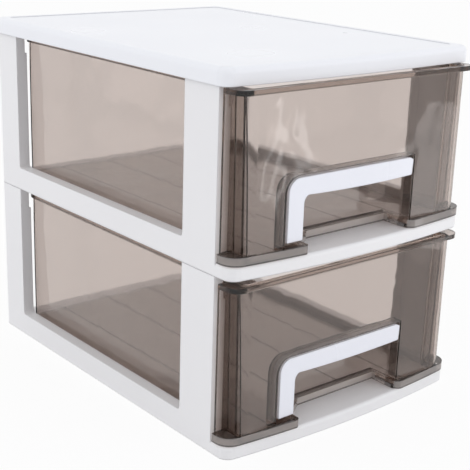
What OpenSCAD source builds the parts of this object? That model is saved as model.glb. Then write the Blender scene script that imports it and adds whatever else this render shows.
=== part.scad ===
// Desktop unit of two stacked open frames, a cover and two clear pull-out drawers.
// Front faces -Y, +Z is up, each drawer slides out along -Y.
// Each drawer carries a white hook-shaped pull set in a recess of its front.

/* [Frames] */
// Outer width of a frame over its two side walls, mm
unit_w = 260; // [250:1:290]
// Depth of a frame from the front of its posts to its back edge, mm
unit_d = 330; // [315:1:350]
// Height of one frame from its underside to its post tops, mm
tier_h = 147.5; // [140:0.5:160]
// Wall thickness of the frames, mm
frame_t = 2.5; // [2:0.1:3]
// Height of the shelf top above the underside of its frame, mm
shelf_h = 11.4; // [10:0.1:13]
// Thickness of the shelf skin, mm
shelf_skin = 3; // [2.4:0.1:3.6]
// How far the shelf lip stands ahead of the posts at the sides, mm
lip_reach = 18.4; // [16:0.2:22]
// Bow of the shelf lip and of the drawer foot between the sides, mm
front_bow = 8.2; // [5:0.1:11]
// Plan radius of the corners of the shelf lip, mm
lip_corner = 10; // [7:0.5:13]
// Rounding of the upper edge of the shelf lip, mm
lip_round = 3.2; // [2:0.1:4.5]
// Depth of the front posts from front to back, mm
post_front = 40.7; // [32:0.5:50]
// Depth of the rear posts from front to back, mm
post_rear = 34.7; // [28:0.5:44]
// Reach of the posts and sills inward from the outer face, mm
post_reach = 10.4; // [9:0.1:12]
// Height of the side sills above the underside of their frame, mm
sill_h = 21; // [18:0.5:26]
// Height of the relief at the post tops that lets the drawer rim pass, mm
relief_h = 19.5; // [14:0.5:26]
// Depth of that relief, mm
relief_d = 1.9; // [1.5:0.1:2.5]
// Radius of the lower corners of the side windows, mm
window_r = 3; // [1.5:0.5:6]
// Depth and height of the shadow groove round the foot of each frame, mm
seam = 0.6; // [0.3:0.1:0.8]
// Distance between the long lines in the shelf top, mm
line_pitch = 52; // [36:1:56]
// Width of those lines, mm
line_w = 1.6; // [1:0.1:2.4]
// Depth of those lines, mm
line_d = 0.7; // [0.4:0.1:1]
// Width of the locating tongues on the post tops, mm
tongue_w = 4.4; // [3:0.1:5]
// Length of the locating tongues, mm
tongue_l = 18; // [12:1:22]
// Height of the locating tongues, mm
tongue_h = 3.6; // [2.5:0.1:5]
// Thickness of the stiffening ribs under shelf and cover, mm
rib_t = 1.8; // [1.2:0.1:2.4]

/* [Cover] */
// Overhang of the cover at each side of the frames, mm
cover_side = 3.6; // [3.2:0.1:6]
// Overhang of the cover ahead of the posts at the sides, mm
cover_front = 10.6; // [8:0.2:14]
// Bow of the front edge of the cover, mm
cover_bow = 5.1; // [3:0.1:8]
// Overhang of the cover behind the frames, mm
cover_back = 3.4; // [3.1:0.1:6]
// Height of the cover, mm
cover_h = 13.7; // [12:0.1:17]
// How far the cover skirt reaches down over the post tops, mm
cover_lap = 3.5; // [2.5:0.1:4.5]
// Thickness of the cover, mm
cover_t = 2.4; // [2:0.1:2.8]
// Plan radius of the cover corners, mm
cover_corner = 9; // [7:0.5:14]
// Rounding of the upper edge of the cover, mm
cover_round = 5; // [3:0.1:6]
// Width of the raised border round the top panel, mm
border_w = 11; // [9:0.5:16]
// Radius of the corners of the top panel, mm
panel_r = 6; // [3:0.5:8]
// Depth of the top panel below its border, mm
panel_drop = 0.6; // [0.3:0.1:1]

/* [Drawers] */
// Gap between each drawer side and the posts at the drawer top, mm
side_gap = 1.3; // [1:0.1:2]
// Taper of each drawer side between top and bottom, mm
draft = 2.5; // [1:0.1:4]
// Wall thickness of the drawers, mm
wall = 2; // [1.6:0.1:2.6]
// Thickness of the drawer floor, mm
floor_t = 2.2; // [1.8:0.1:2.8]
// Gap between the drawer underside and its shelf, mm
glide_gap = 0.3; // [0.2:0.05:0.5]
// Distance of the drawer front wall ahead of the posts, mm
front_reach = 21.5; // [19:0.5:24]
// Gap from the back of a drawer to the back of its frame, mm
tail_gap = 26.5; // [14:0.5:35]
// Gap between the drawer top and the frame or cover above, mm
head_gap = 4.9; // [4.2:0.1:7]
// Radius of the front corners of a drawer, mm
front_r = 8; // [5:0.5:11]
// Radius of the rear corners of a drawer, mm
rear_r = 14; // [9:0.5:18]
// Height of the drawer rim, mm
rim_h = 4; // [3:0.1:5]
// How far the rim stands out from the drawer sides inside the posts, mm
rim_out = 1.9; // [1:0.1:2.2]
// How far the rim stands in over the inside of the drawer, mm
rim_in = 3; // [1:0.1:4]
// How far the front rim and the stop flanges stay inside the frame width, mm
wing_in = 1.2; // [0.5:0.1:3]
// How far the front rim stands ahead of the front wall, mm
rim_lead = 1.1; // [0.5:0.1:2]
// Plan radius of the front corners of the rim, mm
rim_corner = 11; // [8:0.5:14]
// Gap between the stop flanges of a closed drawer and the posts, mm
stop_gap = 3; // [1:0.1:4]
// Thickness of the stop flanges, mm
stop_t = 2; // [1.5:0.1:2.5]
// Thickness of the drawer sides just ahead of the posts, mm
root_t = 4; // [2.5:0.1:5]
// Length of that thicker part, mm
root_l = 9; // [5:0.5:12]
// Height of the foot flange along the drawer front, mm
foot_h = 7.4; // [6:0.1:9]
// How far the foot flange stands out beyond the frame sides, mm
foot_side = 1; // [0.3:0.1:1.6]
// How far the foot flange stands ahead of the shelf lip at the sides, mm
foot_lead = 1.3; // [0.5:0.1:2]
// Plan radius of the foot flange corners, mm
foot_corner = 13.6; // [10:0.2:16]
// Thickness of the ledge and skirt of the foot flange, mm
foot_t = 1.8; // [1.4:0.1:2.2]
// Plan radius of the foot flange corner at the right of the recess, mm
foot_end_r = 8; // [5:0.5:9]
// Plan radius of the foot flange corner under the pull, mm
foot_tip_r = 3; // [2.5:0.5:5]

/* [Pull recess] */
// Distance of the left edge of the recess from the middle, mm
recess_left = 80; // [72:0.5:92]
// Distance of the right edge of the recess from the middle, mm
recess_right = 61; // [52:0.5:70]
// Height of the recess top above the underside of its frame, mm
recess_top = 74; // [68:0.5:84]
// Radius of the upper left corner of the recess, mm
recess_r = 13; // [9:0.5:15]
// Thickness of the walls of recess and pocket, mm
recess_t = 1.3; // [1:0.1:2]
// Depth of the shallow step that holds the pull, mm
step_d = 10.5; // [9:0.1:13]
// Depth of the finger pocket behind the front wall, mm
pocket_d = 29.5; // [26:0.5:36]
// Distance of the pocket ceiling below the recess top, mm
pocket_head = 12; // [6:0.5:14]
// How far the pocket ceiling and its left wall slant in at the back, mm
pocket_slant = 27; // [18:1:34]
// Width of the ledge of the foot flange inside the pocket, mm
ledge = 4.5; // [3:0.1:6]

/* [Pulls] */
// Gap between the pull and the top of the recess, mm
pull_gap = 2.1; // [1.5:0.1:4]
// Gap between the pull and the left edge of the recess, mm
pull_gap_left = 3.3; // [1.5:0.1:5]
// How far the front of the pull stays behind the front wall, mm
pull_inset = 1; // [0.2:0.1:2]
// Gap between the pull and the faces it is seated on, mm
seat_gap = 0.2; // [0.1:0.05:0.3]
// Width of the upright leg, mm
leg_w = 15.8; // [13:0.5:19]
// Height of the grip bar at the leg, mm
bar_h = 14; // [11:0.5:17]
// Extra height of the grip bar at its right end, mm
bar_grow = 1.2; // [0:0.1:2.5]
// Gap between the end of the leg and the foot flange, mm
leg_gap = 2.9; // [1:0.1:5]
// Outer radius of the corner between leg and bar, mm
pull_r = 11; // [7:0.5:13]
// Inner radius of the corner between leg and bar, mm
pull_in_r = 7; // [4:0.5:9]
// Bow of the lower edge of the grip bar, mm
bar_bow = 1.4; // [0.6:0.1:2.5]
// Length of the chamfer at the upper right end of the bar, mm
bar_chamfer = 4; // [2:0.2:6]
// Radius of the fixing pegs of the pull, mm
peg_r = 2.4; // [1.8:0.1:3]
// Gap round the fixing pegs, mm
peg_gap = 0.2; // [0.1:0.05:0.3]

/* [Hidden] */
$fn = 64;
eps = 0.01;
// corner rounds stay this much inside the straight edges, so that faces meet cleanly
hair = 0.04;
// middle of the whole depth, so that the origin sits under the centre
y_min = -(lip_reach + front_bow);
y_max = unit_d + cover_back;
y_mid = (y_min + y_max) / 2;
// frame
half_w = unit_w / 2;
post_in = half_w - post_reach;
rear_post_y = unit_d - post_rear;
// plan = [half width, y at the sides, bow, front corner r, back y, rear corner r]
shelf_plan = [half_w, -lip_reach, front_bow, lip_corner, unit_d, 3];
// cover
cover_z = 2 * tier_h - cover_lap;
cover_top = cover_z + cover_h;
cover_plan = [half_w + cover_side, -cover_front, cover_bow, cover_corner, unit_d + cover_back,
              cover_corner];
panel_plan = [half_w + cover_side - border_w, border_w - cover_front, cover_bow, panel_r,
              unit_d + cover_back - border_w, panel_r];
// drawer, heights above the underside of its frame
body_w = post_in - side_gap;
drawer_z = shelf_h + glide_gap;
drawer_top = tier_h - head_gap;
drawer_end = unit_d - tail_gap;
foot_top = drawer_z + foot_h;
wing_w = half_w - wing_in;
foot_plan = [half_w + foot_side, -(lip_reach + foot_lead), front_bow, foot_corner, 40, 1];
// recess and pocket
step_y = step_d - front_reach;
pocket_y = pocket_d - front_reach;
pocket_top = recess_top - pocket_head;
pull_left = pull_gap_left - recess_left;
pull_right = recess_right - 2 * seat_gap;
leg_right = pull_left + leg_w;
pocket_a = leg_right - 1;
pocket_b = pocket_a + pocket_slant;
slant = atan2(pocket_y - step_y, pocket_slant);
// pull
pull_top = recess_top - pull_gap;
pull_bottom = foot_top + leg_gap;
pull_t = step_d - pull_inset - seat_gap;

function bow_r(s) = (s[0] * s[0] + s[2] * s[2]) / (2 * s[2]);
function bow_y(s) = s[1] - s[2] + bow_r(s);
function cor_x(s) = s[0] - s[3];
function cor_y(s) = bow_y(s) - sqrt(pow(bow_r(s) - s[3], 2) - pow(cor_x(s), 2));
function cor_a(s) = asin(cor_x(s) / (bow_r(s) - s[3]));

// plan outline with a bowed front and rounded corners, drawn in by i
module bow_plan(s, i = 0) {
  big = bow_r(s) - i;
  xt = big * sin(cor_a(s));
  y0 = bow_y(s) - bow_r(s) - 1;
  intersection() {
    translate([0, bow_y(s)])
      circle(r = big, $fn = 1080);
    translate([-xt, y0])
      square([2 * xt, cor_y(s) - y0 + eps]);
  }
  for (m = [-1, 1])
    translate([m * cor_x(s), cor_y(s)])
      circle(r = s[3] - i - hair);
  translate([i - s[0], cor_y(s)])
    square([2 * (s[0] - i), s[4] - s[5] - cor_y(s)]);
  if (s[5] > i) {
    for (m = [-1, 1])
      translate([m * (s[0] - s[5]), s[4] - s[5]])
        circle(r = s[5] - i - hair);
    translate([s[5] - s[0], s[4] - s[5]])
      square([2 * (s[0] - s[5]), s[5] - i]);
  }
}

// section of a plate edge, rounded at the upper outer corner
module edge_face(w, z0, z1, r) {
  translate([0, z0])
    square([w - r, z1 - z0]);
  translate([0, z0])
    square([w, z1 - z0 - r]);
  intersection() {
    translate([w - r, z1 - r])
      circle(r = r);
    translate([0, z0])
      square([w + 1, z1 - z0 + 1]);
  }
}

// plate on a bowed plan with its whole upper edge rounded
module bow_plate(s, z0, z1, r) {
  a = cor_a(s);
  big = bow_r(s);
  deep = r + 3;
  back = s[4] - s[5];
  translate([0, 0, z0])
    linear_extrude(height = z1 - z0)
      bow_plan(s, min(r + 0.6, s[3] - 1));
  translate([0, bow_y(s), 0])
    rotate([0, 0, -90 - a])
      rotate_extrude(angle = 2 * a, $fn = 1080)
        translate([big - deep, 0])
          edge_face(deep, z0, z1, r);
  for (m = [-1, 1]) {
    translate([m * cor_x(s), cor_y(s), 0])
      rotate_extrude()
        edge_face(s[3] - hair, z0, z1 - hair, r);
    translate([m * (s[0] - s[5]), back, 0])
      rotate_extrude()
        edge_face(s[5] - hair, z0, z1 - hair, min(r, s[5] - 0.4));
  }
  for (m = [0, 1])
    mirror([m, 0, 0])
      translate([s[0] - deep, back, 0])
        rotate([90, 0, 0])
          linear_extrude(height = back - cor_y(s))
            edge_face(deep, z0, z1, r);
  translate([s[5] - s[0], s[4] - deep, 0])
    rotate([90, 0, 90])
      linear_extrude(height = 2 * (s[0] - s[5]))
        edge_face(deep, z0, z1, min(r, s[5] - 0.4));
}

// rectangle in plan with front and rear corner radii, drawn in by i
module box_plan(w, y0, y1, r0, r1, i = 0) {
  for (m = [-1, 1]) {
    translate([m * (w - r0), y0 + r0])
      circle(r = r0 - i);
    translate([m * (w - r1), y1 - r1])
      circle(r = r1 - i);
  }
  translate([i - w, y0 + r0])
    square([2 * (w - i), y1 - y0 - r0 - r1]);
  translate([r0 - w, y0 + i])
    square([2 * (w - r0), r0 - i + eps]);
  translate([r1 - w, y1 - r1 - eps])
    square([2 * (w - r1), r1 - i + eps]);
}

// the four post footprints, each on both sides
module each_post() {
  for (m = [0, 1])
    mirror([m, 0, 0]) {
      translate([0, post_front / 2, 0])
        children();
      translate([0, unit_d - post_rear / 2, 0])
        children();
    }
}

module tongue(extra) {
  w = tongue_w + 2 * extra;
  l = tongue_l + 2 * extra;
  translate([half_w - frame_t - tongue_w / 2 - w / 2 - 0.4, -l / 2, 0])
    cube([w, l, tongue_h + extra]);
}

// one inward-open channel post, drawn from y0 to y1 on the right side
module post(y0, y1) {
  translate([half_w - frame_t, y0, 0])
    cube([frame_t, y1 - y0, tier_h]);
  for (y = [y0, y1 - frame_t])
    translate([post_in, y, 0])
      cube([post_reach, frame_t, tier_h]);
  translate([post_in, y0, tier_h - frame_t])
    cube([post_reach, y1 - y0, frame_t]);
}

// corner filler that rounds a lower window corner
module window_corner() {
  rotate([90, 0, 90])
    linear_extrude(height = post_reach)
      difference() {
        square([window_r, window_r]);
        translate([window_r, window_r])
          circle(r = window_r);
      }
}

module frame_side() {
  post(0, post_front);
  post(rear_post_y, unit_d);
  translate([half_w - frame_t, 0, 0])
    cube([frame_t, unit_d, sill_h]);
  translate([post_in, 0, sill_h - frame_t])
    cube([post_reach, unit_d, frame_t]);
  translate([post_in, post_front, sill_h])
    window_corner();
  translate([post_in, rear_post_y, sill_h])
    mirror([0, 1, 0])
      window_corner();
}

// hollow underside of the shelf, with its ribs and corner blocks left standing
module shelf_hollow() {
  difference() {
    translate([0, 0, -1])
      linear_extrude(height = shelf_h - shelf_skin + 1)
        bow_plan(shelf_plan, frame_t);
    for (k = [-1.5:1.5])
      translate([k * line_pitch - rib_t / 2, -lip_reach - front_bow, 1])
        cube([rib_t, unit_d + 2 * lip_reach, shelf_h]);
    for (k = [0:5])
      translate([-half_w, post_front + k * (rear_post_y - post_front) / 5 - rib_t / 2, 1])
        cube([unit_w, rib_t, shelf_h]);
    for (m = [0, 1])
      mirror([m, 0, 0]) {
        translate([post_in - 2, -2, -2])
          cube([post_reach + 3, post_front + 2, shelf_h + 3]);
        translate([post_in - 2, rear_post_y, -2])
          cube([post_reach + 3, post_rear + 1, shelf_h + 3]);
      }
  }
}

module frame_part() {
  difference() {
    union() {
      bow_plate(shelf_plan, 0, shelf_h, lip_round);
      intersection() {
        union() {
          frame_side();
          mirror([1, 0, 0])
            frame_side();
        }
        linear_extrude(height = tier_h)
          bow_plan(shelf_plan);
      }
      each_post()
        translate([0, 0, tier_h - eps])
          tongue(0);
    }
    shelf_hollow();
    difference() {
      translate([-unit_w, -unit_d, -1])
        cube([2 * unit_w, 3 * unit_d, 1 + seam]);
      translate([0, 0, -2])
        linear_extrude(height = 4)
          bow_plan(shelf_plan, seam);
    }
    for (k = [-1.5:1.5])
      translate([k * line_pitch - line_w / 2, 12, shelf_h - line_d])
        cube([line_w, unit_d - 24, 2]);
    each_post()
      translate([0, 0, -eps])
        tongue(0.25);
    for (m = [0, 1])
      mirror([m, 0, 0])
        translate([post_in - 1, -1, tier_h - relief_h])
          cube([relief_d + 1, unit_d + 2, relief_h + 1]);
  }
}

module place() {
  translate([0, -y_mid, 0])
    children();
}

module lower_frame() {
  color("#dddde3")
    place()
      frame_part();
}

module upper_frame() {
  color("#dddde3")
    place()
      translate([0, 0, tier_h])
        frame_part();
}

// cover: rounded plate, raised border, hollow underside with side rails and ribs
module top_cover() {
  rail_in = post_in - 3;
  color("#f1f2f6")
    place()
      difference() {
        bow_plate(cover_plan, cover_z, cover_top, cover_round);
        translate([0, 0, cover_top - panel_drop])
          linear_extrude(height = 2)
            bow_plan(panel_plan);
        difference() {
          translate([0, 0, cover_z - 1])
            linear_extrude(height = cover_h - cover_t - panel_drop + 1)
              bow_plan(cover_plan, cover_t);
          for (m = [0, 1])
            mirror([m, 0, 0])
              translate([rail_in, 0, 2 * tier_h])
                cube([half_w + cover_side - rail_in - 1, unit_d, cover_h]);
          for (k = [0:5])
            translate([-half_w, 10 + k * (unit_d - 20) / 5 - rib_t / 2, cover_top - 8.5])
              cube([unit_w, rib_t, 8]);
        }
        each_post()
          translate([0, 0, 2 * tier_h - eps])
            tongue(0.25);
      }
}

// tapered outline of the drawer from z0 up, drawn in by i, from y0 to y1
module taper(z0, i, y0, y1) {
  k = draft / (drawer_top - drawer_z);
  up = 3;
  translate([0, y1, 0])
    rotate([90, 0, 0])
      linear_extrude(height = y1 - y0)
        polygon([[i - body_w + draft - k * (z0 - drawer_z), z0],
                 [body_w - draft + k * (z0 - drawer_z) - i, z0],
                 [body_w + k * up - i, drawer_top + up],
                 [i - body_w - k * up, drawer_top + up]]);
}

// drawer shell solid: tapered sides, plan corners rounded, drawn in by i
module shell(z0, i) {
  intersection() {
    translate([0, 0, z0])
      linear_extrude(height = drawer_top - z0 + (i > 0 ? 3 : 0))
        box_plan(body_w, -front_reach, drawer_end, front_r, rear_r, i);
    taper(z0, i, -front_reach - 5, drawer_end + 5);
  }
}

// front view of the shallow step, grown by g
module step_face(g) {
  x0 = -recess_left - g;
  r = recess_r + g;
  translate([x0, 0])
    square([recess_left + recess_right + 2 * g, recess_top + g - r]);
  translate([x0 + r, 0])
    square([recess_left + recess_right + 2 * g - r, recess_top + g]);
  translate([x0 + r, recess_top + g - r])
    circle(r = r);
}

// plan of the finger pocket, grown by g (negative draws it in)
module pocket_plan(g) {
  x_front = pocket_a - g / sin(slant) - 2 * (front_reach + step_y) / tan(slant);
  y_front = step_y - 2 * (front_reach + step_y);
  polygon([[x_front, y_front],
           [pocket_b - g * tan(slant / 2), pocket_y + g],
           [recess_right + g, pocket_y + g],
           [recess_right + g, y_front]]);
}

// plan of the gap that the foot flange leaves open under the pull, grown by g
module foot_gap(g) {
  x0 = leg_right + 3 - g;
  x1 = recess_right - ledge + g;
  y0 = -front_reach - 14;
  ra = foot_tip_r - g;
  rb = foot_end_r - g;
  ya = -lip_reach - front_bow + foot_tip_r + 0.9;
  yb = -lip_reach - front_bow + foot_end_r + 0.4;
  intersection() {
    pocket_plan(g - ledge);
    translate([x0, y0])
      square([x1 - x0, 60]);
  }
  translate([x0, y0])
    square([x1 - x0, step_y - ledge + g - y0]);
  difference() {
    translate([x0 - ra, y0])
      square([ra + 1, ya - y0]);
    translate([x0 - ra, ya])
      circle(r = ra);
  }
  difference() {
    translate([x1 - 1, y0])
      square([rb + 1, yb - y0]);
    translate([x1 + rb, yb])
      circle(r = rb);
  }
}

module drawer_foot() {
  difference() {
    union() {
      intersection() {
        bow_plan(foot_plan);
        translate([-unit_w, -60])
          square([2 * unit_w, 60 - stop_gap]);
      }
      intersection() {
        pocket_plan(recess_t);
        translate([-unit_w, -front_reach])
          square([2 * unit_w, 80]);
      }
    }
    foot_gap(0);
  }
}

// hollow under the ledge of the foot flange, with two small gussets left in it
module foot_hollow() {
  translate([0, 0, drawer_z - 1])
    linear_extrude(height = foot_top - foot_t - drawer_z + 1)
      difference() {
        union() {
          difference() {
            intersection() {
              bow_plan(foot_plan, foot_t);
              translate([-unit_w, -60])
                square([2 * unit_w, 60 - stop_gap - foot_t]);
            }
            box_plan(body_w, -front_reach, drawer_end, front_r, rear_r);
          }
          intersection() {
            pocket_plan(0);
            translate([-unit_w, step_y])
              square([2 * unit_w, 80]);
          }
        }
        foot_gap(foot_t);
        translate([recess_right - 23, 0])
          square([1.2, 30]);
        translate([recess_right - 12, stop_t - stop_gap - 1.2])
          square([30, 1.2]);
      }
}

// shell, foot, rim and stop flanges before the inside is taken out
module drawer_outside() {
  shell(drawer_z, 0);
  translate([0, 0, drawer_z])
    linear_extrude(height = foot_h)
      drawer_foot();
  translate([0, 0, drawer_top - rim_h])
    linear_extrude(height = rim_h) {
      box_plan(body_w + rim_out, -front_reach + 1, drawer_end + rim_out, front_r, rear_r + rim_out);
      box_plan(wing_w, -front_reach - rim_lead, -stop_gap, rim_corner, 1);
    }
  for (m = [0, 1])
    mirror([m, 0, 0])
      translate([body_w - draft - wall, -stop_gap - stop_t, drawer_z])
        cube([wing_w - body_w + draft + wall, stop_t, drawer_top - drawer_z]);
}

// solid that keeps the walls round the recess when the inside is taken out
module recess_walls() {
  translate([0, step_y + recess_t, -1])
    rotate([90, 0, 0])
      linear_extrude(height = step_d + recess_t + 5)
        step_face(recess_t);
  linear_extrude(height = pocket_top + recess_t)
    pocket_plan(recess_t);
}

module recess_cut() {
  translate([0, step_y, 0])
    rotate([90, 0, 0])
      linear_extrude(height = step_d + 12)
        intersection() {
          step_face(0);
          translate([-unit_w, foot_top])
            square([2 * unit_w, tier_h]);
        }
  translate([0, 0, foot_top])
    linear_extrude(height = pocket_top - foot_top)
      pocket_plan(0);
  linear_extrude(height = foot_top + eps)
    foot_gap(0);
}

module leg_pegs(r) {
  for (z = [pull_bottom + 10, pull_top - 16])
    translate([pull_left + leg_w / 2, step_y + recess_t, z])
      rotate([90, 0, 0])
        cylinder(r = r, h = recess_t + 1);
}

module end_peg(r, x0) {
  translate([x0, step_y - step_d / 2 + 0.5, pull_top - bar_h / 2])
    rotate([0, 90, 0])
      cylinder(r = r, h = recess_right + recess_t - x0);
}

module drawer_part() {
  difference() {
    drawer_outside();
    difference() {
      shell(drawer_z + floor_t, wall);
      recess_walls();
      difference() {
        translate([-half_w, -stop_gap - root_l, 0])
          cube([unit_w, root_l, tier_h]);
        taper(0, root_t, -stop_gap - root_l - 1, 0);
      }
      translate([0, 0, drawer_top - rim_h])
        linear_extrude(height = rim_h + 5)
          difference() {
            box_plan(body_w + 3, -front_reach - 3, drawer_end + 3, front_r, rear_r);
            box_plan(body_w, -front_reach, drawer_end, front_r, rear_r, wall + rim_in);
          }
    }
    recess_cut();
    foot_hollow();
    translate([0, 1, 0])
      leg_pegs(peg_r + peg_gap);
    leg_pegs(peg_r + peg_gap);
    end_peg(peg_r + peg_gap, recess_right - 1);
    translate([1, 0, 0])
      end_peg(peg_r + peg_gap, recess_right);
  }
}

module lower_drawer() {
  color("#b7aba5")
    place()
      drawer_part();
}

module upper_drawer() {
  color("#b7aba5")
    place()
      translate([0, 0, tier_h])
        drawer_part();
}

// front view of the hook-shaped pull: upright leg at the left, grip bar to the right
module pull_face() {
  x0 = pull_left;
  z_bar = pull_top - bar_h;
  chord = pull_right - leg_right;
  bow = chord * chord / (8 * bar_bow) + bar_bow / 2;
  difference() {
    union() {
      translate([x0, pull_bottom])
        square([leg_w, pull_top - pull_bottom]);
      intersection() {
        translate([(leg_right + pull_right + bow * bar_grow / chord) / 2, z_bar - bar_grow / 2 + bow - bar_bow])
          circle(r = bow, $fn = 1080);
        polygon([[x0, z_bar], [leg_right, z_bar - 0.5], [leg_right, z_bar - 5], [pull_right - 2, z_bar - 5],
                 [pull_right - 2, z_bar - bar_grow - 0.4], [pull_right - 0.8, z_bar - bar_grow + 1],
                 [pull_right, pull_top - bar_chamfer / 2], [pull_right - bar_chamfer, pull_top], [x0, pull_top]]);
      }
      difference() {
        translate([leg_right - eps, z_bar - pull_in_r])
          square([pull_in_r, pull_in_r]);
        translate([leg_right + pull_in_r, z_bar - pull_in_r])
          circle(r = pull_in_r);
      }
    }
    difference() {
      translate([x0 - 1, pull_top - pull_r])
        square([pull_r + 1, pull_r + 1]);
      translate([x0 + pull_r, pull_top - pull_r])
        circle(r = pull_r);
    }
  }
}

module pull_part() {
  translate([0, step_y - seat_gap, 0])
    rotate([90, 0, 0])
      linear_extrude(height = pull_t)
        pull_face();
  leg_pegs(peg_r);
  end_peg(peg_r, pull_right - 1);
}

module lower_handle() {
  color("#e6e8f2")
    place()
      pull_part();
}

module upper_handle() {
  color("#e6e8f2")
    place()
      translate([0, 0, tier_h])
        pull_part();
}

top_cover();
upper_frame();
lower_frame();
upper_drawer();
lower_drawer();
upper_handle();
lower_handle();
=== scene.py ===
# Desktop unit of two stacked white frames under one cover, with two clear smoke drawers.
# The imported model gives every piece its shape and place; this script gives the finish.
import bpy
import bmesh
import math
from mathutils import Matrix, Vector

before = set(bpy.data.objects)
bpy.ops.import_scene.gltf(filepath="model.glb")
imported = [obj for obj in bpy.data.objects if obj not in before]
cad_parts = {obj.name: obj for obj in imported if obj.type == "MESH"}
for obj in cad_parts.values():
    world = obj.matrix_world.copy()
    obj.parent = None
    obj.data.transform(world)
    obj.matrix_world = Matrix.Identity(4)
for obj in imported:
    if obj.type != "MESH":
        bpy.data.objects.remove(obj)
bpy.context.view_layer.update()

# ---- camera ---------------------------------------------------------------
# Stands at the photograph's place, front left and a little above the cover.
# The angles and the focal length in pixels come from a fit to the unit's edges.
azimuth = math.radians(-40.05)
elevation = math.radians(17.60)
roll = math.radians(1.88)
camera_place = Vector((-0.6066, -0.7427, 0.4213))
focal_pixels = 1077.8
photo_pixels = 470.0
sensor_mm = 36.0

back = Vector((math.sin(azimuth) * math.cos(elevation),
               -math.cos(azimuth) * math.cos(elevation),
               math.sin(elevation)))
level_right = Vector((math.cos(azimuth), math.sin(azimuth), 0.0))
level_up = back.cross(level_right)
cam_right = math.cos(roll) * level_right + math.sin(roll) * level_up
cam_up = -math.sin(roll) * level_right + math.cos(roll) * level_up
camera_data = bpy.data.cameras.new("photo_camera")
camera_data.sensor_width = sensor_mm
camera_data.sensor_fit = "HORIZONTAL"
camera_data.lens = focal_pixels * sensor_mm / photo_pixels
camera_data.clip_start = 0.05
camera_data.clip_end = 20.0
camera = bpy.data.objects.new("photo_camera", camera_data)
bpy.context.scene.collection.objects.link(camera)
view_matrix = Matrix((cam_right, cam_up, back)).transposed().to_4x4()
view_matrix.translation = camera_place
camera.matrix_world = view_matrix
bpy.context.scene.camera = camera
bpy.context.scene.view_settings.view_transform = "Standard"


# ---- room -----------------------------------------------------------------
# White cove: world and floor show plain white to the camera, in gloss and through the
# clear plastic, and light the unit more softly; the floor keeps the unit's shadow.
def linear(hex_colour):
    parts = [int(hex_colour[i:i + 2], 16) / 255.0 for i in (1, 3, 5)]
    parts = [c / 12.92 if c <= 0.04045 else ((c + 0.055) / 1.055) ** 2.4 for c in parts]
    return (parts[0], parts[1], parts[2], 1.0)


def add_node(tree, kind, settings=None, sockets=None, links=None):
    node = tree.nodes.new(kind)
    for key, value in (settings or {}).items():
        setattr(node, key, value)
    for key, value in (sockets or {}).items():
        node.inputs[key].default_value = value
    for key, source in (links or {}).items():
        tree.links.new(source, node.inputs[key])
    return node


def empty_tree(owner):
    owner.use_nodes = True
    owner.node_tree.nodes.clear()
    return owner.node_tree


def seen_rays(tree):
    path = add_node(tree, "ShaderNodeLightPath")
    seen = path.outputs["Is Camera Ray"]
    for ray in ("Is Glossy Ray", "Is Transmission Ray"):
        seen = add_node(tree, "ShaderNodeMath", {"operation": "MAXIMUM"}, None,
                        {0: seen, 1: path.outputs[ray]}).outputs[0]
    return seen


light_strength = 0.79    # what the world gives to the unit's own surfaces
plain_white = (1.0, 1.0, 1.0, 1.0)
world = bpy.data.worlds.new("white_cove")
bpy.context.scene.world = world
tree = empty_tree(world)
seen = seen_rays(tree)
soft = add_node(tree, "ShaderNodeBackground", None,
                {"Color": linear("#FBFCFF"), "Strength": light_strength})
plain = add_node(tree, "ShaderNodeBackground", None, {"Color": plain_white, "Strength": 1.0})
mixed = add_node(tree, "ShaderNodeMixShader", None, None,
                 {0: seen, 1: soft.outputs[0], 2: plain.outputs[0]})
add_node(tree, "ShaderNodeOutputWorld", None, None, {"Surface": mixed.outputs[0]})

floor_half_width = 6.0
white_share = 0.93       # the rest of the seen floor is lit paper, which holds the shadow
floor_mesh = bmesh.new()
bmesh.ops.create_grid(floor_mesh, x_segments=1, y_segments=1, size=floor_half_width)
floor_data = bpy.data.meshes.new("cove_floor")
floor_mesh.to_mesh(floor_data)
floor_mesh.free()
floor = bpy.data.objects.new("cove_floor", floor_data)
bpy.context.scene.collection.objects.link(floor)
cove = bpy.data.materials.new("matt white paper cove")
tree = empty_tree(cove)
seen = seen_rays(tree)
paper = add_node(tree, "ShaderNodeBsdfDiffuse", None, {"Color": linear("#F2F2F2")})
glow = add_node(tree, "ShaderNodeEmission", None, {"Color": plain_white, "Strength": 1.0})
lifted = add_node(tree, "ShaderNodeMixShader", None, {0: white_share},
                  {1: paper.outputs[0], 2: glow.outputs[0]})
cove_mix = add_node(tree, "ShaderNodeMixShader", None, None,
                    {0: seen, 1: paper.outputs[0], 2: lifted.outputs[0]})
add_node(tree, "ShaderNodeOutputMaterial", None, None, {"Surface": cove_mix.outputs[0]})
floor_data.materials.append(cove)

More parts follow.
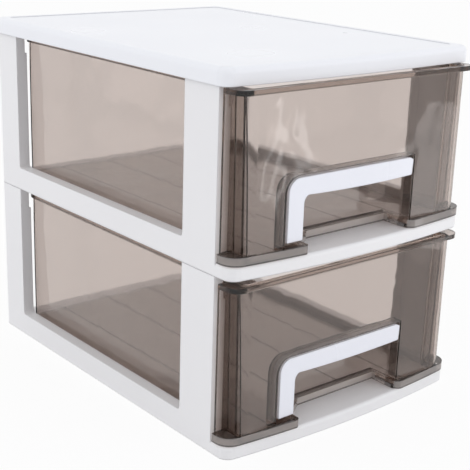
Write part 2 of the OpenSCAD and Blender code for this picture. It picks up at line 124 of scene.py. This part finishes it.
# Name, place, point it faces, width and height (m), power (W). The softboxes give the
# light; the card and the strips are there for their reflections in the drawer fronts.
softboxes = (
    ("softbox_above", (0.0, 0.1, 1.7), (0.0, 0.0, 0.15), 1.6, 1.6, 0.8),
    ("softbox_left", (-1.7, 0.7, 1.35), (0.0, 0.0, 0.12), 1.4, 1.2, 6.5),
    ("softbox_front_right", (1.25, -1.7, 1.05), (0.0, 0.0, 0.12), 1.4, 1.2, 8.5))
reflected = (
    ("curved_card_right", (0.385, -0.403, 0.105), (0.08, -0.17, 0.21), 0.10, 0.18, 0.045),
    ("strip_front_a", (0.118, -0.403, 0.17), (-0.09, -0.17, 0.23), 0.009, 0.12, 0.006),
    ("strip_front_b", (0.150, -0.403, 0.15), (-0.07, -0.17, 0.22), 0.007, 0.12, 0.0045))
for shape, in_gloss, lamps in (("RECTANGLE", False, softboxes), ("ELLIPSE", True, reflected)):
    for name, place, target, width, height, watts in lamps:
        lamp_data = bpy.data.lights.new(name, "AREA")
        lamp_data.shape = shape
        lamp_data.size = width
        lamp_data.size_y = height
        lamp_data.energy = watts
        lamp = bpy.data.objects.new(name, lamp_data)
        bpy.context.scene.collection.objects.link(lamp)
        lamp.location = place
        facing = Vector(place) - Vector(target)
        lamp.rotation_euler = facing.to_track_quat("Z", "Y").to_euler()
        lamp.visible_camera = False
        lamp.visible_glossy = in_gloss


# ---- frames ---------------------------------------------------------------
# Two equal injection-moulded polypropylene frames, one standing on the other: opaque
# white, satin from a spark-eroded mould, with slight shrink marks and long shallow
# grooves in the shelf, whose floors are painted dark as painted shade so they read as thin grey
# lines.
tier_height = 0.1475     # m, from one frame to the next
first, second = 6, 7     # the two colour sockets of a Mix node


def moulded_white(name, colour, roughness):
    material = bpy.data.materials.new(name)
    tree = empty_tree(material)
    place = add_node(tree, "ShaderNodeTexCoord").outputs["Object"]
    white = linear(colour)

    def darker(share):
        return tuple(share * c for c in white[:3]) + (1.0,)

    # Real grain is about 0.2 mm; it is drawn at 1.1 mm, the finest that shows here.
    # Shrink marks are about 70 mm across and change the gloss more than the tone.
    grains_per_metre = 900.0
    marks_per_metre = 14.0
    grain = add_node(tree, "ShaderNodeTexNoise", None,
                     {"Scale": grains_per_metre, "Detail": 3.0, "Roughness": 0.6},
                     {"Vector": place})
    sink = add_node(tree, "ShaderNodeTexNoise", None,
                    {"Scale": marks_per_metre, "Detail": 0.0}, {"Vector": place})
    gloss = add_node(tree, "ShaderNodeMapRange", None,
                     {"From Min": 0.0, "From Max": 1.0,
                      "To Min": roughness - 0.06, "To Max": roughness + 0.07},
                     {"Value": sink.outputs["Fac"]})
    tone = add_node(tree, "ShaderNodeMix", {"data_type": "RGBA"},
                    {first: white, second: darker(0.985)}, {"Factor": sink.outputs["Fac"]})

    # The floors of the shelf's grooves, painted dark as painted shade: reach to front and back,
    # reach to the sides and height within a tier, each as its middle and half of its width, m.
    apart = add_node(tree, "ShaderNodeSeparateXYZ", None, None, {"Vector": place})
    tier = add_node(tree, "ShaderNodeMath", {"operation": "MODULO"}, {1: tier_height},
                    {0: apart.outputs["Z"]})
    bands = [add_node(tree, "ShaderNodeMath", {"operation": "COMPARE"},
                      {1: middle, 2: half}, {0: along}).outputs[0]
             for along, middle, half in ((apart.outputs["Y"], 0.005, 0.165),
                                         (apart.outputs["X"], 0.0, 0.11),
                                         (tier.outputs[0], 0.01095, 0.0003))]
    groove = bands[0]
    for band in bands[1:]:
        groove = add_node(tree, "ShaderNodeMath", {"operation": "MULTIPLY"}, None,
                          {0: groove, 1: band}).outputs[0]
    groove_shaded = add_node(tree, "ShaderNodeMix", {"data_type": "RGBA"}, {second: darker(0.45)},
                     {"Factor": groove, first: tone.outputs[2]})

    # Edges are rounded by about 1 mm and painted a touch darker than the faces, as painted shade
    # on the rounding.
    edge_radius = 0.0011
    edge = add_node(tree, "ShaderNodeBevel", {"samples": 6}, {"Radius": edge_radius})
    face = add_node(tree, "ShaderNodeNewGeometry")
    turn = add_node(tree, "ShaderNodeVectorMath", {"operation": "DOT_PRODUCT"}, None,
                    {0: edge.outputs["Normal"], 1: face.outputs["Normal"]})
    near_edge = add_node(tree, "ShaderNodeMapRange", {"interpolation_type": "SMOOTHSTEP"},
                         {"From Min": 1.0, "From Max": 0.85, "To Min": 0.0, "To Max": 1.0},
                         {"Value": turn.outputs["Value"]})
    edge_shaded = add_node(tree, "ShaderNodeMix", {"data_type": "RGBA"}, {second: darker(0.93)},
                      {"Factor": near_edge.outputs[0], first: groove_shaded.outputs[2]})
    grain_depth = 0.0002
    bump = add_node(tree, "ShaderNodeBump", None, {"Strength": 0.06, "Distance": grain_depth},
                    {"Height": grain.outputs["Fac"], "Normal": edge.outputs["Normal"]})
    # 1.49 is polypropylene's own index.
    skin = add_node(tree, "ShaderNodeBsdfPrincipled", None, {"IOR": 1.49},
                    {"Base Color": edge_shaded.outputs[2], "Roughness": gloss.outputs[0],
                     "Normal": bump.outputs["Normal"]})
    add_node(tree, "ShaderNodeOutputMaterial", None, None, {"Surface": skin.outputs[0]})
    return material


def dress(node_names, material):
    for node_name in node_names:
        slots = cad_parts[node_name].data.materials
        slots.clear()
        slots.append(material)


dress(("upper_frame", "lower_frame"),
      moulded_white("white polypropylene, satin moulded frame", "#F2F1F2", 0.34))

# ---- cover ----------------------------------------------------------------
# One hollow polypropylene moulding that snaps onto the upper frame; its smoother
# mould gives it slightly more gloss and a cooler white than the frames.
dress(("top_cover",),
      moulded_white("white polypropylene, satin moulded cover", "#F6F7FB", 0.30))

# ---- drawers --------------------------------------------------------------
# Injection-moulded clear polystyrene with a grey-brown smoke dye in its mass: thick
# rims and feet look darker than the 2 mm walls. Corners and recess walls are darker still
# from painted shade in the surface tint, on top of the dye in the thicker corners.
# The polished mould makes it glossy and leaves faint flow ripples.
smoke = bpy.data.materials.new("clear smoke polystyrene, polished mould")
tree = empty_tree(smoke)
place = add_node(tree, "ShaderNodeTexCoord").outputs["Object"]
apart = add_node(tree, "ShaderNodeSeparateXYZ", None, None, {"Vector": place})
x, y, z = (apart.outputs[axis] for axis in "XYZ")
side = add_node(tree, "ShaderNodeMath", {"operation": "ABSOLUTE"}, None, {0: x}).outputs[0]
tier = add_node(tree, "ShaderNodeMath", {"operation": "MODULO"}, {1: tier_height},
                {0: z}).outputs[0]
# The drawer floor takes thin painted shade lines over these grooves.
groove_pitch = 0.052     # m, of the shelf's grooves, which show through the floor
along_floor = add_node(tree, "ShaderNodeMath", {"operation": "MODULO"}, {1: groove_pitch},
                       {0: side}).outputs[0]

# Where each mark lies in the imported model, m: where a soft limit starts and is full,
# the middle and half width of a band, and the place of a sharp limit. The last list
# joins them: MULTIPLY keeps what all of them share, MAXIMUM what any of them has.
marks = {}
# The corner_* limits bound the front corners of the side walls, which take painted shade in the
# tint below.
for name, along, none_at, full_at in (
        ("corner_inner", side, 0.1120, 0.1145),
        ("corner_outer", side, 0.1290, 0.1215),
        ("corner_rear", y, -0.1540, -0.1560),
        ("corner_front", y, -0.1715, -0.1660),
        ("below_ledge_top", tier, 0.0190, 0.0184)):
    marks[name] = add_node(tree, "ShaderNodeMapRange", {"interpolation_type": "SMOOTHSTEP"},
                           {"From Min": none_at, "From Max": full_at,
                            "To Min": 0.0, "To Max": 1.0}, {"Value": along}).outputs[0]
# The recess_* bands bound the walls of the pull's recess, which take painted shade in the tint
# below.
for name, along, middle, half in (
        ("recess_depth", y, -0.1686, 0.0040),
        ("recess_width", x, -0.00965, 0.07205),
        ("recess_height", tier, 0.0481, 0.0276),
        ("behind_recess", y, -0.1470, 0.0060),
        ("under_pull", x, 0.0115, 0.0480),
        # groove_below: thin painted shade lines on the drawer floor over the shelf's grooves.
        ("groove_below", along_floor, 0.026, 0.0009),
        # ledge_*_edge: dark painted shade lines along the foot ledge's edges.
        ("ledge_upper_edge", tier, 0.01945, 0.00065),
        ("ledge_lower_edge", tier, 0.0125, 0.00045)):
    marks[name] = add_node(tree, "ShaderNodeMath", {"operation": "COMPARE"},
                           {1: middle, 2: half}, {0: along}).outputs[0]
for name, along, test, limit in (
        ("ahead", y, "LESS_THAN", -0.1751),
        ("near_front", y, "LESS_THAN", -0.1735),
        ("near_side", side, "GREATER_THAN", 0.1082),
        ("beside", side, "GREATER_THAN", 0.1180),
        ("at_floor", tier, "LESS_THAN", 0.0150),
        ("inside_front", y, "GREATER_THAN", -0.1728),
        ("inside_sides", side, "LESS_THAN", 0.1135)):
    marks[name] = add_node(tree, "ShaderNodeMath", {"operation": test}, {1: limit},
                           {0: along}).outputs[0]
for name, rule, start, *others in (
        ("corner", "MULTIPLY", "corner_inner", "corner_outer", "corner_rear", "corner_front"),
        ("recess_walls", "MULTIPLY", "recess_depth", "recess_width", "recess_height"),
        ("round_corner", "MULTIPLY", "near_front", "near_side"),
        ("pocket_strip", "MULTIPLY", "behind_recess", "under_pull"),
        ("outside", "MAXIMUM", "ahead", "beside", "round_corner", "pocket_strip"),
        # The ledge and its pocket strip take painted light below: a pale, partly opaque surface
        # for the lit shelf seen through.
        ("ledge", "MULTIPLY", "below_ledge_top", "outside"),
        ("pocket_ledge", "MULTIPLY", "below_ledge_top", "pocket_strip"),
        ("tray_floor", "MULTIPLY", "at_floor", "inside_front", "inside_sides"),
        ("floor_groove_shade", "MULTIPLY", "groove_below", "tray_floor"),
        ("ledge_edges", "MAXIMUM", "ledge_upper_edge", "ledge_lower_edge"),
        ("ledge_edge_shade", "MULTIPLY", "ledge_edges", "outside")):
    marks[name] = marks[start]
    for other in others:
        marks[name] = add_node(tree, "ShaderNodeMath", {"operation": rule}, None,
                               {0: marks[name], 1: marks[other]}).outputs[0]

# Surface tint: nearly clear, then each mark laid over the one before: painted shade at corners,
# recess, floor grooves and ledge edges, painted light on the ledge and pocket strip.
tint = None
clear_white = linear("#FCFAFA")
for name, colour in (("corner", "#D4D0CE"), ("recess_walls", "#BFBBB9"),
                     ("floor_groove_shade", "#ADAAA8"), ("ledge", "#B8B1AD"),
                     ("pocket_ledge", "#DFD8D4"), ("ledge_edge_shade", "#6F6C6C")):
    layer = add_node(tree, "ShaderNodeMix", {"data_type": "RGBA"},
                     {first: clear_white, second: linear(colour)}, {"Factor": marks[name]})
    if tint is not None:
        tree.links.new(tint, layer.inputs[first])
    tint = layer.outputs[2]

# The ledge of the foot is partly opaque with a pale colour, painted light that stands in for the
# lit shelf seen through it; the floor lets a little less of the view through than the walls.
floor_share = 0.4
least_transmission = 0.55
floor_haze = add_node(tree, "ShaderNodeMath", {"operation": "MULTIPLY"}, {1: floor_share},
                      {0: marks["tray_floor"]})
haze_and_painted_light = add_node(tree, "ShaderNodeMath", {"operation": "MAXIMUM"}, None,
                {0: floor_haze.outputs[0], 1: marks["ledge"]})
through = add_node(tree, "ShaderNodeMapRange", None,
                   {"From Min": 0.0, "From Max": 1.0,
                    "To Min": 1.0, "To Max": least_transmission},
                   {"Value": haze_and_painted_light.outputs[0]})

# Flow ripples are about 40 mm long and under 1 mm deep; edges are rounded by 0.7 mm.
ripples_per_metre = 26.0
ripple_depth = 0.001
edge_radius = 0.0007
flow = add_node(tree, "ShaderNodeTexNoise", None,
                {"Scale": ripples_per_metre, "Detail": 1.0, "Roughness": 0.4,
                 "Distortion": 0.6}, {"Vector": place})
edge = add_node(tree, "ShaderNodeBevel", {"samples": 6}, {"Radius": edge_radius})
ripple = add_node(tree, "ShaderNodeBump", None, {"Strength": 1.0, "Distance": ripple_depth},
                  {"Height": flow.outputs["Fac"], "Normal": edge.outputs["Normal"]})
# The index is matched to the object, a little under polystyrene's own 1.59.
clear = add_node(tree, "ShaderNodeBsdfPrincipled", None, {"Roughness": 0.05, "IOR": 1.49},
                 {"Base Color": tint, "Transmission Weight": through.outputs[0],
                  "Normal": ripple.outputs["Normal"]})
dye_density = 200.0      # a 2 mm wall takes 21% of the red and 28% of the blue
dye = add_node(tree, "ShaderNodeVolumeAbsorption", None,
               {"Color": linear("#AA8E76"), "Density": dye_density})

# Light that falls through the thin walls onto other surfaces is hardly weakened.
path = add_node(tree, "ShaderNodeLightPath")
light_only = add_node(tree, "ShaderNodeMath", {"operation": "MAXIMUM"}, None,
                      {0: path.outputs["Is Shadow Ray"], 1: path.outputs["Is Diffuse Ray"]})
lets_light_by = add_node(tree, "ShaderNodeBsdfTransparent", None, {"Color": linear("#FDFDFD")})
smoke_mix = add_node(tree, "ShaderNodeMixShader", None, None,
                     {0: light_only.outputs[0], 1: clear.outputs[0], 2: lets_light_by.outputs[0]})
add_node(tree, "ShaderNodeOutputMaterial", None, None,
         {"Surface": smoke_mix.outputs[0], "Volume": dye.outputs[0]})
dress(("upper_drawer", "lower_drawer"), smoke)

# ---- pulls ----------------------------------------------------------------
# Hook-shaped polypropylene pulls, pegged into the drawer fronts; the glossiest of
# the white pieces, and slightly blue beside the brown of the drawers.
dress(("upper_handle", "lower_handle"),
      moulded_white("white polypropylene, glossy moulded pull", "#F2F3FA", 0.26))
